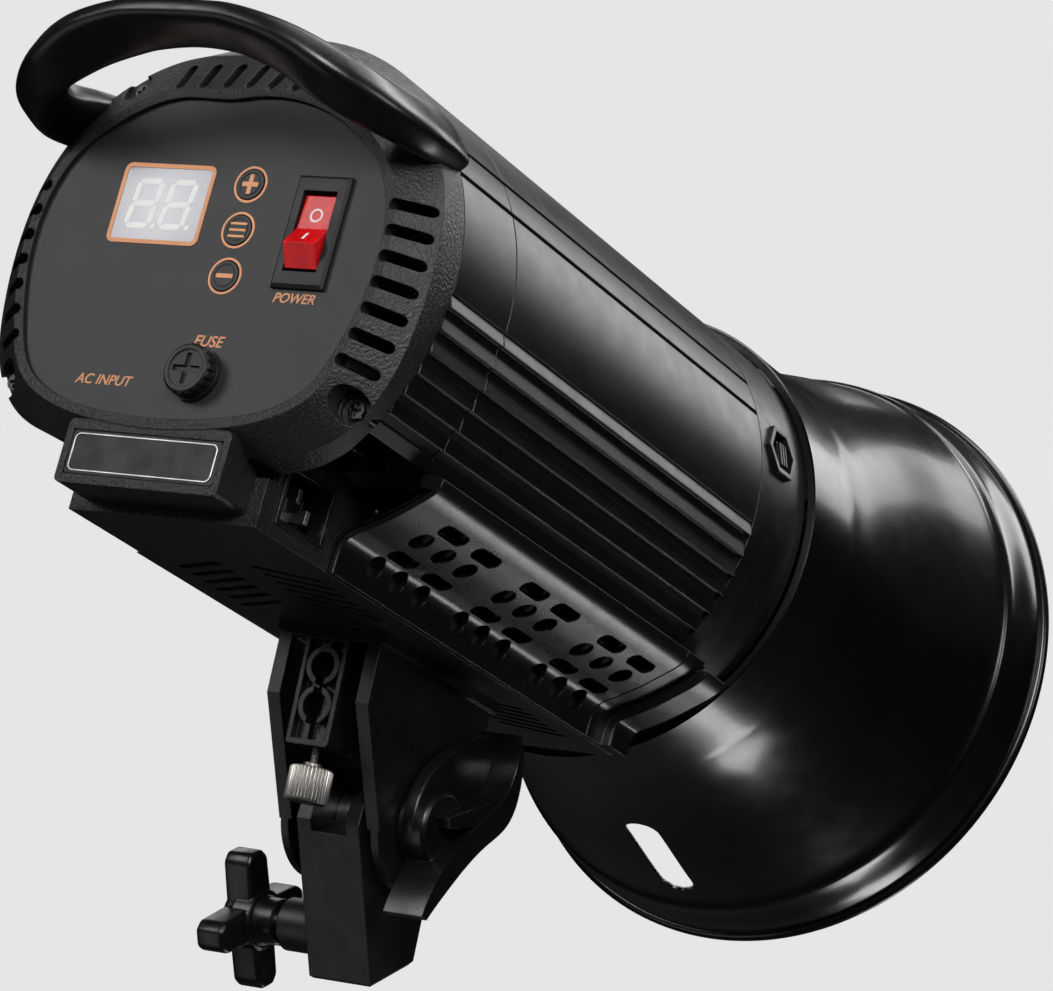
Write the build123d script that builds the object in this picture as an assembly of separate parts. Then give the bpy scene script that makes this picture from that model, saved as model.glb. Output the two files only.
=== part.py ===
from build123d import *
import os
from math import atan2, cos, degrees, hypot, radians, sin

# LED monolight with a bayonet reflector, on a tilting stand bracket.
# Part frame: millimetres, +Z up, +Y the way the light points, +X the operator's right.
# The origin is the centre of the mouth of the stand socket.
# The head is drawn in its own frame, with +Y along the light's axis and the origin where
# that axis crosses the control panel, then tilted and placed by in_head().

# ---------- driving dimensions ----------
TILT = 34.0                     # the head's nose-down angle
HEAD_Y, HEAD_Z = -52.5, 256.0   # the head's origin in the part frame
PIVOT_Y, PIVOT_Z = 10.0, 50.0   # tilt bolt in the part frame
BOLT_Y, BOLT_Z = 167.0, -135.8  # the same bolt in the head's frame

BARREL_R = 79.8
WALL = 3.0
GAP = 0.15                      # parting gap between fixed shells
BEZEL_FRONT = 21.8
COLLAR_FRONT = 55.0
BARREL_FRONT = 228.5
RING_FRONT = 262.0
SHELL_FLOOR = -49.0             # the round shells stop at this height

TRAY_Z = -84.3
TRAY_HALF = 35.9
TRAY_REAR, TRAY_FRONT = 16.0, 232.0
TRAY_TOP, TRAY_STEP = -53.0, -68.4
COVER_REAR, COVER_FRONT = 58.0, 225.0
CAP_FRONT = 249.0

RIM_R, RIM_Y = 110.4, 408.0
SHEET = 1.3                     # reflector sheet metal

SOCKET_R, SOCKET_DEPTH = 8.1, 40.0
BLOCK_HALF = 12.3
CHEEK_IN, CHEEK_OUT = 16.4, 19.4
BOLT_R = 4.0
KNOB_Z = 13.0
UMBRELLA_R = 4.5
UMBRELLA_Y, UMBRELLA_Z = 119.5, -97.8
CLAMP_TILT = 5.2                # the clamp's block leans forward by this angle
UMBRELLA_RISE = 1.2             # the shaft itself rises by this angle, to meet the reflector's slot
CLAMP_DEPTH = 25.0

SWITCH_X, SWITCH_Z = 39.2, 5.8
SWITCH_W, SWITCH_H = 19.6, 37.0
DISPLAY_X, DISPLAY_Z = -21.0, 12.7
DISPLAY_W, DISPLAY_H = 34.0, 25.6
BUTTON_X, BUTTON_R = 10.8, 4.9
BUTTON_HEIGHTS = {"button_up": 20.8, "button_mode": 5.5, "button_down": -9.8}
FUSE_X, FUSE_Z, FUSE_CAP_R = 10.6, -42.6, 8.4
SCREW_SPOTS = [(65.5, -46.5), (-65.5, -46.5), (48.5, 54.0), (-48.5, 54.0)]

# Half outlines (x, z) from top centre to bottom centre, seen from behind.
PANEL_HALF = [(0, 49), (25, 48.2), (45.8, 38.8), (58.5, 27), (65, 10), (65.2, -10),
              (61.3, -27), (53, -44.5), (38, -53.2), (18, -57), (0, -58)]
BEZEL_HALF = [(0, 68.5), (28, 67), (50, 58.5), (66.5, 43.5), (77, 22), (80, 0), (78.5, -22),
              (73, -42), (61, -56.5), (40, -64), (20, -66), (0, -66.5)]


# ---------- helpers ----------
def in_head(shape):
    return Pos(0, HEAD_Y, HEAD_Z) * Rot(-TILT, 0, 0) * shape


def rear_plane(y):
    """Sketch plane seen from behind: x to the right, z up."""
    return Plane(origin=(0, y, 0), x_dir=(1, 0, 0), z_dir=(0, -1, 0))


def forward(sketch, y0, y1):
    """Solid of an (x, z) outline from y0 to y1."""
    return extrude(rear_plane(y0) * sketch, amount=y0 - y1)


def sideways(points, x0, x1):
    """Solid of a closed (y, z) polygon from x0 to x1."""
    plane = Plane(origin=(x0, 0, 0), x_dir=(0, 1, 0), z_dir=(1, 0, 0))
    return extrude(plane * make_face(Polyline(*points, close=True)), amount=x1 - x0)


def rod_y(r, x, z, y0, y1):
    return Pos(x, (y0 + y1) / 2, z) * Rot(90, 0, 0) * Cylinder(r, abs(y1 - y0))


def rod_x(r, y, z, x0, x1):
    return Pos((x0 + x1) / 2, y, z) * Rot(0, 90, 0) * Cylinder(r, abs(x1 - x0))


def block(x0, x1, y0, y1, z0, z1):
    size = (x1 - x0, y1 - y0, z1 - z0)
    return Pos((x0 + x1) / 2, (y0 + y1) / 2, (z0 + z1) / 2) * Box(*size)


def slab(w, h, x, z, y0, y1, corner=0.0):
    """Plate facing backwards, w wide and h high, with rounded corners if asked."""
    sketch = RectangleRounded(w, h, corner) if corner else Rectangle(w, h)
    return forward(Pos(x, z) * sketch, y0, y1)


def inset(points, d):
    """Points of a half outline moved towards the axis by d."""
    return [(x * (1 - d / hypot(x, z)), z * (1 - d / hypot(x, z))) for x, z in points]


def outline(half):
    """Closed smooth outline from its right half."""
    left = [(-x, z) for x, z in half[-2:0:-1]]
    return make_face(Spline(*half, *left, periodic=True))


def round_half(r, floor):
    """Right half of a circle that flattens out below the given height."""
    low = -degrees(atan2(-floor, (r * r - floor * floor) ** 0.5))
    turns = [radians(90 - i * (90 - low) / 9) for i in range(10)]
    arc = [(r * cos(a), r * sin(a)) for a in turns]
    return arc + [(arc[-1][0] * 0.62, floor - 7.5), (arc[-1][0] * 0.3, floor - 9.6), (0, floor - 10)]


def tube_y(r, wall, y0, y1):
    return rod_y(r, 0, 0, y0, y1) - rod_y(r - wall, 0, 0, y0 - 1, y1 + 1)


def on_barrel(angle, r, y):
    """Place with local Z pointing out of the barrel, local X forward and local Y up the side."""
    a = radians(angle)
    out = (cos(a), 0, sin(a))
    return Plane(origin=(r * cos(a), y, r * sin(a)), x_dir=(0, 1, 0), z_dir=out).location


def slot_y(length, width, x, z, angle, y0, y1):
    """Round-ended slot cutter through the rear face."""
    return forward(Pos(x, z) * Rot(0, 0, angle) * SlotOverall(length, width), y0, y1)


def screw(r, length):
    """Pan-head screw pointing down, with a cross recess; the head sits on the XY plane."""
    head = Pos(0, 0, 0.9) * Cylinder(r * 1.9, 1.8)
    cross = Box(r * 2.6, 0.9, 1.6) + Box(0.9, r * 2.6, 1.6)
    return head + Pos(0, 0, -length / 2) * Cylinder(r, length) - Pos(0, 0, 1.6) * cross


def both_sides(shape):
    return shape + mirror(shape, Plane.YZ)


# ---------- rear bezel and control panel ----------
def bezel_outer():
    lip = outline(inset(PANEL_HALF, -3.4))
    mouth = outline(round_half(BARREL_R, -58))
    rear = loft([rear_plane(-1.5) * lip, rear_plane(9) * outline(BEZEL_HALF)])
    return rear + loft([rear_plane(9) * outline(BEZEL_HALF), rear_plane(BEZEL_FRONT) * mouth])


def bezel_inner():
    mouth = outline(inset(round_half(BARREL_R, -58), 3))
    waist = outline(inset(BEZEL_HALF, 3))
    rear = loft([rear_plane(2.3) * outline(inset(PANEL_HALF, 3)), rear_plane(10) * waist])
    return rear + loft([rear_plane(10) * waist, rear_plane(BEZEL_FRONT + 0.2) * mouth])


def bezel_vents():
    cuts = []
    for i in range(7):
        rise = 17.0 - 8.7 * i
        across = -27.6 + 9.2 * i
        reach = 72.2 - 0.0045 * rise * rise
        cuts.append(slot_y(12.4, 3.8, reach, rise, rise * 0.35, -3, 14))
        cuts.append(slot_y(12.4, 3.8, -reach, rise, -rise * 0.35, -3, 14))
        cuts.append(slot_y(11.5, 3.8, across, 58.2 - 0.0016 * across ** 2, 90 - across * 0.35, -3, 14))
    return cuts


def rear_bezel():
    outer = bezel_outer()
    badge_box = fillet(block(-31, 31, -1.2, 15.8, -81, -60).edges().filter_by(Axis.Y), 2)
    badge_box -= block(-28.6, 28.6, -2, 0.2, -78, -63.4)
    shell = outer + badge_box - bezel_inner() - forward(outline(PANEL_HALF), -3, 2.3)
    wells = [rod_y(7.0, x, z, 9, 14) & outer for x, z in SCREW_SPOTS]
    shell = shell + wells
    holes = [rod_y(5.6, x, z, -3, 11) for x, z in SCREW_SPOTS]
    holes += [rod_y(1.6, x, z, -3, 25) for x, z in SCREW_SPOTS]
    shell = shell - bezel_vents() - holes
    return shell.solids().sort_by(SortBy.VOLUME)[-1]


def panel_holes(room):
    cuts = [slab(DISPLAY_W + room, DISPLAY_H + room, DISPLAY_X, DISPLAY_Z, -1, 4)]
    cuts.append(slab(SWITCH_W - 3.4, SWITCH_H - 3.4, SWITCH_X, SWITCH_Z, -1, 4))
    cuts.append(rod_y(5.8, FUSE_X, FUSE_Z, -1, 4))
    cuts += [rod_y(BUTTON_R + 0.3, BUTTON_X, z, -1, 4) for z in BUTTON_HEIGHTS.values()]
    return cuts


def control_panel():
    return forward(outline(inset(PANEL_HALF, GAP)), 0.3, 2.3) - panel_holes(0.3)


def panel_film():
    return forward(outline(inset(PANEL_HALF, GAP)), 0, 0.25) - panel_holes(0.3)


def display_window():
    return slab(DISPLAY_W, DISPLAY_H, DISPLAY_X, DISPLAY_Z, -0.1, 1.2, 1.5)


def display_module():
    return slab(32, 24, DISPLAY_X, DISPLAY_Z, 2.4, 10) + slab(30, 22, DISPLAY_X, DISPLAY_Z, 1.4, 2.4)


def button(z):
    cap = rod_y(BUTTON_R, BUTTON_X, z, -0.35, 2.6) + rod_y(BUTTON_R + 1.2, BUTTON_X, z, 2.6, 3.4)
    return cap - (rod_y(3.9, BUTTON_X, z, -1, -0.15) - rod_y(3.5, BUTTON_X, z, -2, 0))


def button_board():
    tops = [rod_y(1.7, BUTTON_X, z, 4.1, 4.8) for z in BUTTON_HEIGHTS.values()]
    return block(3.5, 18, 4.8, 6.4, -17, 28) + tops


def switch_frame():
    frame = slab(SWITCH_W, SWITCH_H, SWITCH_X, SWITCH_Z, -2.2, -0.05)
    frame = chamfer(frame.faces().sort_by(Axis.Y)[0].edges(), 1.0)
    frame += slab(SWITCH_W - 3.8, SWITCH_H - 3.8, SWITCH_X, SWITCH_Z, -0.05, 14)
    return frame - slab(12.6, 26.6, SWITCH_X, SWITCH_Z, -3, 12.5)


def power_rocker():
    """The off end is pressed in, so the lower end stands out."""
    face = [(-0.6, 12.2), (-1.2, 1.0), (-6.2, -5.4), (-1.6, -12.2), (5.0, -9.0), (6.0, 0), (5.0, 9.0)]
    face = [(y, SWITCH_Z + z) for y, z in face]
    rocker = sideways(face, SWITCH_X - 5.9, SWITCH_X + 5.9)
    return rocker - rod_x(1.3, 2.6, SWITCH_Z, SWITCH_X - 7, SWITCH_X + 7)


def rocker_pin():
    return rod_x(1.25, 2.6, SWITCH_Z, SWITCH_X - 6.25, SWITCH_X + 6.25)


def switch_terminals():
    pins = Part()
    for side in (-3.6, 3.6):
        for level in (-9, 0, 9):
            pins += slab(0.8, 4.4, SWITCH_X + side, SWITCH_Z + level, 14, 21)
    return pins


def fuse_holder():
    ring = rod_y(8.9, FUSE_X, FUSE_Z, -1.8, -0.05) + rod_y(5.5, FUSE_X, FUSE_Z, -0.05, 30)
    ring -= rod_y(6.2, FUSE_X, FUSE_Z, -3, -0.7)
    return ring - rod_y(3.9, FUSE_X, FUSE_Z, -3, 26) + rod_y(1.2, FUSE_X, FUSE_Z, 30, 36)


def fuse_cap():
    cap = rod_y(FUSE_CAP_R, FUSE_X, FUSE_Z, -6.4, -2.1)
    cap = chamfer(cap.faces().sort_by(Axis.Y)[0].edges(), 0.9)
    cap += rod_y(3.6, FUSE_X, FUSE_Z, -2.1, 4)
    cuts = [slab(10, 1.8, FUSE_X, FUSE_Z, -7, -5.0), slab(1.8, 10, FUSE_X, FUSE_Z, -7, -5.0)]
    cuts.append(rod_y(6.2, FUSE_X, FUSE_Z, -7, -6.0))
    for i in range(18):
        a = radians(20 * i)
        cuts.append(rod_y(0.55, FUSE_X + FUSE_CAP_R * cos(a), FUSE_Z + FUSE_CAP_R * sin(a), -8, -2.5))
    return cap - cuts


def fuse_link():
    return rod_y(2.6, FUSE_X, FUSE_Z, 4.3, 24.3)


def badge_plate():
    return fillet(block(-28.4, 28.4, -0.9, 0.1, -77.8, -63.6).edges().filter_by(Axis.Y), 1.2)


def bezel_screws():
    return Part() + [Pos(x, 10.95, z) * Rot(90, 0, 0) * screw(1.5, 9) for x, z in SCREW_SPOTS]


# ---------- carry handle ----------
# Each station: centre, direction across the strap, direction along it, width, thickness.
HANDLE = [
    ((0, -39.5, 57.0), (0, -1, 0.08), (1, 0, 0), 23, 7.5),
    ((22, -39.0, 55.2), (0.04, -0.98, 0.20), (0.98, 0.05, -0.17), 22.5, 7.8),
    ((38, -37.2, 50.8), (0.16, -0.93, 0.33), (0.91, 0.27, -0.30), 20.5, 8.8),
    ((53, -31.5, 44.8), (0.45, -0.76, 0.47), (0.76, 0.60, -0.26), 17, 11.5),
    ((64.0, -19.5, 41.2), (0.66, -0.42, 0.62), (0.52, 0.84, -0.11), 14, 15.0),
    ((68.3, -5, 41.2), (0.74, -0.14, 0.66), (0.11, 0.98, 0.09), 12, 18.0),
    ((66.6, 9, 43.6), (0.74, 0.05, 0.67), (-0.17, 0.97, 0.17), 11, 20.0),
    ((63.6, 22.2, 45.6), (0.75, 0.10, 0.66), (-0.23, 0.96, 0.15), 9, 21.0),
]


def handle_section(centre, across, along, width, thick):
    run = Vector(*along).normalized()
    wide = Vector(*across)
    wide = (wide - run * wide.dot(run)).normalized()
    plane = Plane(origin=centre, x_dir=tuple(wide), z_dir=tuple(run))
    return plane * RectangleRounded(width, thick, min(width, thick) * 0.42)


def carry_handle():
    right = [handle_section(*station) for station in HANDLE]
    left = []
    for (x, y, z), (ax, ay, az), (bx, by, bz), width, thick in HANDLE[:0:-1]:
        left.append(handle_section((-x, y, z), (-ax, ay, az), (bx, -by, -bz), width, thick))
    strap = loft(left + right)
    strap = strap - block(-90, 90, BEZEL_FRONT, 60, 0, 90)
    return strap - rod_y(BARREL_R + 0.35, 0, 0, 5, 60) - rod_y(BARREL_R - 1.8, 0, 0, -2, 6)


# ---------- collar, barrel and front ring ----------
def shell_ribs(y0, y1):
    """Cutters for the stepped ribs low on the sides and the two grooves above them."""
    cuts = []
    for i in range(6):
        place = on_barrel(-6.1 - 5.35 * i, BARREL_R, (y0 + y1) / 2) * Rot(12, 0, 0)
        cuts.append(place * Pos(0, 0, 0.2) * Box(y1 - y0, 3.6, 2.8))
    for angle in (27.4, 36.4):
        cuts.append(on_barrel(angle, BARREL_R, (y0 + y1) / 2) * Box(y1 - y0, 1.6, 2.4))
    cuts += [mirror(c, Plane.YZ) for c in cuts]
    return cuts


def cut_floor(shell, y0, y1):
    return shell - block(-90, 90, y0 - 1, y1 + 1, -90, SHELL_FLOOR)


def rear_collar():
    y0, y1 = BEZEL_FRONT + GAP, COLLAR_FRONT - GAP
    collar = cut_floor(tube_y(BARREL_R, WALL, y0, y1), y0, y1)
    floor = block(-60, 60, y0, COVER_REAR - GAP, SHELL_FLOOR - 2.2, SHELL_FLOOR)
    floor -= block(-33, 33, y0 + 3, COVER_REAR - 3, -60, -40)
    return collar + floor - shell_ribs(y0 - 2, y1 + 2)


def main_barrel():
    y0, y1 = COLLAR_FRONT + GAP, BARREL_FRONT - GAP
    barrel = cut_floor(tube_y(BARREL_R, WALL, y0, y1), y0, y1)
    barrel -= block(-90, 90, y0 - 1, COVER_REAR + 1, -90, SHELL_FLOOR + 0.3)
    return barrel - shell_ribs(y0 - 2, y1 + 2)


def front_ring():
    y0, y1 = BARREL_FRONT + GAP, RING_FRONT
    ring = tube_y(BARREL_R, WALL, y0, y1)
    ring -= block(-90, 90, y0 - 1, COVER_FRONT + 24, -90, SHELL_FLOOR)
    ring += tube_y(BARREL_R, 3.9, y1 - 5, y1)
    return ring - on_barrel(LATCH_ANGLE, BARREL_R, LATCH_Y) * extrude(RegularPolygon(10.15, 6), 20, both=True)


# ---------- release latch ----------
LATCH_ANGLE, LATCH_Y = 20.5, 243.0
LATCH_TRAVEL = 3.0


def latch_housing():
    place = on_barrel(LATCH_ANGLE, BARREL_R, LATCH_Y)
    frame = Pos(0, 0, -5.4) * extrude(RegularPolygon(10.0, 6), 6.8)
    frame -= Pos(0, 0, -3.6) * extrude(RegularPolygon(8.0, 6), 9)
    frame -= Pos(0, 0, -6) * Box(9.5, 4.2, 6)
    return place * frame


def release_latch():
    """Ribbed pad that slides back by LATCH_TRAVEL, with a foot through the housing's floor."""
    place = on_barrel(LATCH_ANGLE, BARREL_R, LATCH_Y)
    pad = Pos(1.9, 0, -1.9) * Box(5.6, 9.4, 3.0)
    pad += [Pos(x, 0, 0.0) * Box(0.9, 8.2, 1.3) for x in (0.0, 1.9, 3.8)]
    return place * (pad + Pos(2.0, 0, -5.6) * Box(4.2, 3.8, 5.0))


def latch_spring():
    """Leaf spring under the housing that pushes the latch forward."""
    place = on_barrel(LATCH_ANGLE, BARREL_R, LATCH_Y)
    leaf = Pos(-8.2, 0, -7.4) * Box(0.5, 3.0, 3.4) + Pos(-4.6, 0, -8.9) * Box(7.7, 3.0, 0.4)
    return place * (leaf + Pos(-4.0, 0, -8.1) * Box(0.5, 3.0, 2.0))


# ---------- bottom tray and covers ----------
def louvre_cuts():
    cuts = []
    for i in range(6):
        for side in (-1, 1):
            place = Pos(side * 17, 64 + 7.5 * i, TRAY_Z) * Rot(0, 0, side * 24)
            cuts.append(extrude(place * SlotOverall(24, 3.0), 6, both=True))
            place = Pos(side * 17, 194 + 6 * i, TRAY_Z) * Rot(0, 0, side * 24)
            cuts.append(extrude(place * SlotOverall(24, 2.6), 6, both=True))
    return cuts


INLET_Y, INLET_Z = 38.0, -69.6


def bottom_tray():
    h = TRAY_HALF
    rear = block(-h, h, BEZEL_FRONT + GAP, COVER_REAR - GAP, TRAY_Z, TRAY_TOP)
    foot = block(-h, h, TRAY_REAR, COVER_REAR, TRAY_Z, TRAY_STEP)
    long = block(-h, h, COVER_REAR - 1, TRAY_FRONT, TRAY_Z, -58)
    hollow = block(-h + 2.2, h - 2.2, BEZEL_FRONT + 2.5, COVER_REAR - 2.5, TRAY_Z + 2.4, -40)
    hollow += block(-h + 2.2, h - 2.2, TRAY_REAR + 2.2, TRAY_FRONT - 2.2, TRAY_Z + 2.4, TRAY_STEP - 2)
    hollow += block(-h + 2.2, h - 2.2, COVER_REAR - 4, TRAY_FRONT - 2.2, TRAY_Z + 2.4, -40)
    tray = rear + foot + long - hollow
    tray = tray - louvre_cuts()
    tray -= block(h - 4, h + 1, INLET_Y - 13.8, INLET_Y + 13.8, INLET_Z - 10.3, INLET_Z + 10.3)
    bolts = [Pos(x, y, TRAY_Z) * Cylinder(2.6, 8) for x, y in CRADLE_BOLTS]
    return tray - bolts


OGEE = [(69.4, -51.8), (60.7, -60.2), (53.4, -66.4), (44.6, -70.3), (40.2, -73.0)]


def cover_section():
    """Section of a side cover: a lip under the barrel, an ogee and a skirt beside the tray."""
    inner = [(67.2, -52.4), (59.4, -59.0), (52.4, -64.6), (43.8, -68.4), (38.4, -71.9)]
    edges = [Spline(*OGEE), Line(OGEE[-1], (38.1, -77.5)), Line((38.1, -77.5), (38.1, TRAY_Z + 0.1))]
    edges.append(Line((38.1, TRAY_Z + 0.1), (36.1, TRAY_Z + 0.1)))
    edges.append(Line((36.1, TRAY_Z + 0.1), (36.1, -76.5)))
    edges += [Line((36.1, -76.5), inner[-1]), Spline(*inner[::-1])]
    edges += [Line(inner[0], (61.5, -51.4)), Line((61.5, -51.4), (61.5, -49.2))]
    edges += [Line((61.5, -49.2), (66.5, -49.4)), Line((66.5, -49.4), OGEE[0])]
    return make_face(edges)


def cover_holes():
    """Four rows: slots in pairs and round holes in threes, in three groups along the cover."""
    cuts = []
    for group in range(3):
        start = 78.0 + 53.2 * group
        for y in (start + 6, start + 27):
            for x, z, lean in ((60.7, -60.1, 44), (44.6, -70.3, 24)):
                place = Pos(x, y, z) * Rot(0, -lean, 0)
                cuts.append(extrude(place * Rot(0, 0, 90) * SlotOverall(15.0, 5.6), 4, both=True))
        for y in (start, start + 14, start + 28):
            for x, z, lean in ((54.0, -65.9, 34), (38.9, -75.0, 62)):
                cuts.append(Pos(x, y, z) * Rot(0, -lean, 0) * Cylinder(4.2, 8))
    return cuts


def side_cover():
    return forward(cover_section(), COVER_REAR, COVER_FRONT - GAP) - cover_holes()


def front_cap():
    """Front end of a side cover, ending in a flange that flares outwards."""
    tail = forward(cover_section(), COVER_FRONT, CAP_FRONT - 13)
    low = TRAY_Z + 0.05
    flange = [(61.4, -49.15), (66.6, -49.15), (70.0, -51.0), (74.5, -55.5), (62.0, -68.0), (52.0, -75.0),
              (47.0, low), (36.0, low), (36.0, -76.0), (38.2, -71.0), (52.2, -63.9), (59.2, -58.3),
              (61.4, -56.0)]
    return tail + forward(make_face(Polyline(*flange, close=True)), CAP_FRONT - 14, CAP_FRONT)


def front_bridge():
    """Closes the tray's front end between the two caps, under the bayonet ring."""
    arch = forward(Pos(0, -66.5) * Rectangle(71.8, 35.4), TRAY_FRONT + GAP, CAP_FRONT)
    arch -= rod_y(BARREL_R + 0.1, 0, 0, TRAY_FRONT - 1, CAP_FRONT + 1)
    return arch


# ---------- mains inlet and electronics ----------
def mains_inlet():
    x = TRAY_HALF
    body = block(x - 12, x + 0.6, INLET_Y - 13.6, INLET_Y + 13.6, INLET_Z - 10.1, INLET_Z + 10.1)
    body -= block(x - 10, x + 1, INLET_Y - 11.9, INLET_Y + 11.9, INLET_Z - 8.2, INLET_Z + 8.2)
    body = chamfer(body.edges().filter_by(Axis.X).group_by(Axis.Z)[-1], 2)
    return body - inlet_pins()


def inlet_pins():
    pins = Part()
    for y, z in ((-6.5, -1.8), (6.5, -1.8), (0, 3.0)):
        pins += block(TRAY_HALF - 20, TRAY_HALF - 3, INLET_Y + y - 1, INLET_Y + y + 1,
                      INLET_Z + z - 2.2, INLET_Z + z + 2.2)
    return pins


def driver_board():
    return block(-32, 32, 66, 118, -73.5, -71.9)


def driver_parts():
    base = -71.8
    rows = [(-18, 78, 22, 18, 18), (12, 80, 24, 22, 22), (-20, 103, 18, 20, 14)]
    shapes = [block(x - w / 2, x + w / 2, y - d / 2, y + d / 2, base, base + h) for x, y, w, d, h in rows]
    for x, y in ((0, 104), (16, 104)):
        shapes.append(Pos(x, y, base + 11) * Cylinder(6.5, 22))
    return Part() + shapes


def control_board():
    return block(-40, 22, 24, 25.6, -26, 34) - rod_y(3, -30, -20, 20, 30)


def fan_frame():
    frame = slab(92, 92, 0, 0, 88, 113, 6) - rod_y(43.5, 0, 0, 80, 120)
    frame += rod_y(19, 0, 0, 88, 91)
    for i in range(4):
        frame += Rot(0, 45 + 90 * i, 0) * block(17, 45, 88, 91, -2, 2)
    return frame - rod_y(1.6, 0, 0, 80, 95)


def fan_rotor():
    rotor = rod_y(18.5, 0, 0, 92, 111) + rod_y(1.55, 0, 0, 89, 92)
    blade = Pos(30, 101.5, 0) * Rot(38, 0, 0) * Box(25, 1.6, 22)
    blades = [Rot(0, 360 / 7 * i, 0) * blade for i in range(7)]
    swept = rotor + blades
    return swept & rod_y(42.6, 0, 0, 88, 112)


def heat_sink():
    sink = rod_y(24, 0, 0, 122, 204) + rod_y(52, 0, 0, 198, 204)
    fin = block(20, 66, 122, 199, -1.1, 1.1)
    return sink + [Rot(0, 18 * i, 0) * fin for i in range(20)]


def led_board():
    return slab(44, 44, 0, 0, 204.05, 206.0) - [rod_y(1.8, x, z, 200, 210) for x in (-18, 18) for z in (-18, 18)]


def led_emitter():
    return rod_y(15, 0, 0, 206.05, 207.2)


def led_cup():
    profile = [(16.5, 206.2), (18.0, 206.2), (38.0, 244.0), (44.0, 244.0), (44.0, 245.5), (37.0, 245.5)]
    return revolve(make_face(Polyline(*profile, close=True)), Axis.Y)


def front_plate():
    plate = rod_y(71, 0, 0, 246, 248.5) - rod_y(41, 0, 0, 240, 250)
    cuts = []
    for i in range(24):
        place = Rot(0, 15 * i, 0)
        cuts.append(place * Pos(56, 247, 0) * Rot(90, 0, 0) * extrude(SlotOverall(18, 4), 4, both=True))
    return plate - cuts


def glass_dome():
    """Spherical cap that stands in the hole of the front plate."""
    centre = Pos(0, 219.0, 0)
    cap = centre * Sphere(48.96) - centre * Sphere(46.4)
    return cap & block(-60, 60, 246.4, 280, -60, 60)


# ---------- bayonet and reflector ----------
def ring_sector(r0, r1, y0, y1, start, span):
    ring = rod_y(r1, 0, 0, y0, y1) - rod_y(r0, 0, 0, y0 - 1, y1 + 1)
    a0, a1, far = radians(start), radians(start + span), r1 * 2
    mid = (a0 + a1) / 2
    wedge = [(0, 0), (far * cos(a0), far * sin(a0)), (far * cos(mid), far * sin(mid)),
             (far * cos(a1), far * sin(a1))]
    return ring & forward(make_face(Polyline(*wedge, close=True)), y0 - 1, y1 + 1)


def bayonet_mount():
    mount = tube_y(75.6, 4.0, 255, 274) + tube_y(73.0, 4.0, 248.8, 257)
    tabs = [ring_sector(75.0, 79.0, 270.5, 274, 120 * i + 10, 42) for i in range(3)]
    return mount + tabs


def reflector_bayonet():
    ring = tube_y(82.4, 2.1, 263.5, 276)
    tabs = [ring_sector(76.0, 81, 264.5, 269.8, 120 * i + 14, 34) for i in range(3)]
    return ring + tabs


def reflector_bowl():
    outer = [(83.7, 285), (85.2, 310), (90.1, 334), (97.4, 358), (104.0, 382), (109.4, 404.8)]
    inner = [(r - SHEET, y + 0.2) for r, y in outer]
    bottom_in, bottom_out = (83.7 - SHEET, 263.2), (83.7, 263.2)
    edges = [Line(bottom_out, outer[0]), Spline(*outer), Line(outer[-1], inner[-1])]
    edges += [Spline(*inner[::-1]), Line(inner[0], bottom_in), Line(bottom_in, bottom_out)]
    bowl = revolve(make_face(edges), Axis.Y)
    bowl += revolve(Pos(RIM_R - 2.1, RIM_Y - 2.1) * Circle(2.1), Axis.Y)
    bowl += revolve(Pos(104.0, 384) * Circle(1.1), Axis.Y)
    cut = extrude(Pos(0, 352, -120) * Rot(0, 0, 90) * SlotOverall(31, 13), 40)
    return bowl - cut


# ---------- cradle under the head ----------
CRADLE_BOLTS = [(-9, 152), (9, 152), (-9, 182), (9, 182)]


def cheek(x0, x1):
    profile = [(119.6, -88.2), (121.2, -108.4), (146.6, -143.9), (188.2, -141.0), (193.5, -104.0),
               (193.5, -88.2)]
    plate = sideways(profile, x0, x1) + rod_x(22, BOLT_Y, BOLT_Z, x0, x1)
    rim = sideways([(119.6, -88.2), (121.2, -108.4), (146.6, -143.9), (149.4, -142.2), (124.2, -107.4),
                    (122.4, -88.2)], x0 - 1.4, x1 + 0.6)
    return plate + rim - rod_x(BOLT_R + 0.08, BOLT_Y, BOLT_Z, x0 - 5, x1 + 5)


def cradle():
    plate = block(-21.5, 21.5, 119.6, 194, -88.3, TRAY_Z - 0.05)
    body = plate + both_sides(cheek(CHEEK_IN, CHEEK_OUT))
    return body - [Pos(x, y, -86) * Cylinder(2.1, 8) for x, y in CRADLE_BOLTS]


def cradle_bolts():
    bolts = []
    for x, y in CRADLE_BOLTS:
        bolts.append(Pos(x, y, -88.35) * Rot(180, 0, 0) * screw(2.0, 8.5))
    return Part() + bolts


def clamp_frame(shape):
    """Local frame of the umbrella clamp: y along the shaft, z = 0 at the shaft's centre."""
    return Pos(0, UMBRELLA_Y, UMBRELLA_Z) * Rot(CLAMP_TILT, 0, 0) * shape


CLAMP_SCREW_Y = 6.5


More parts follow.
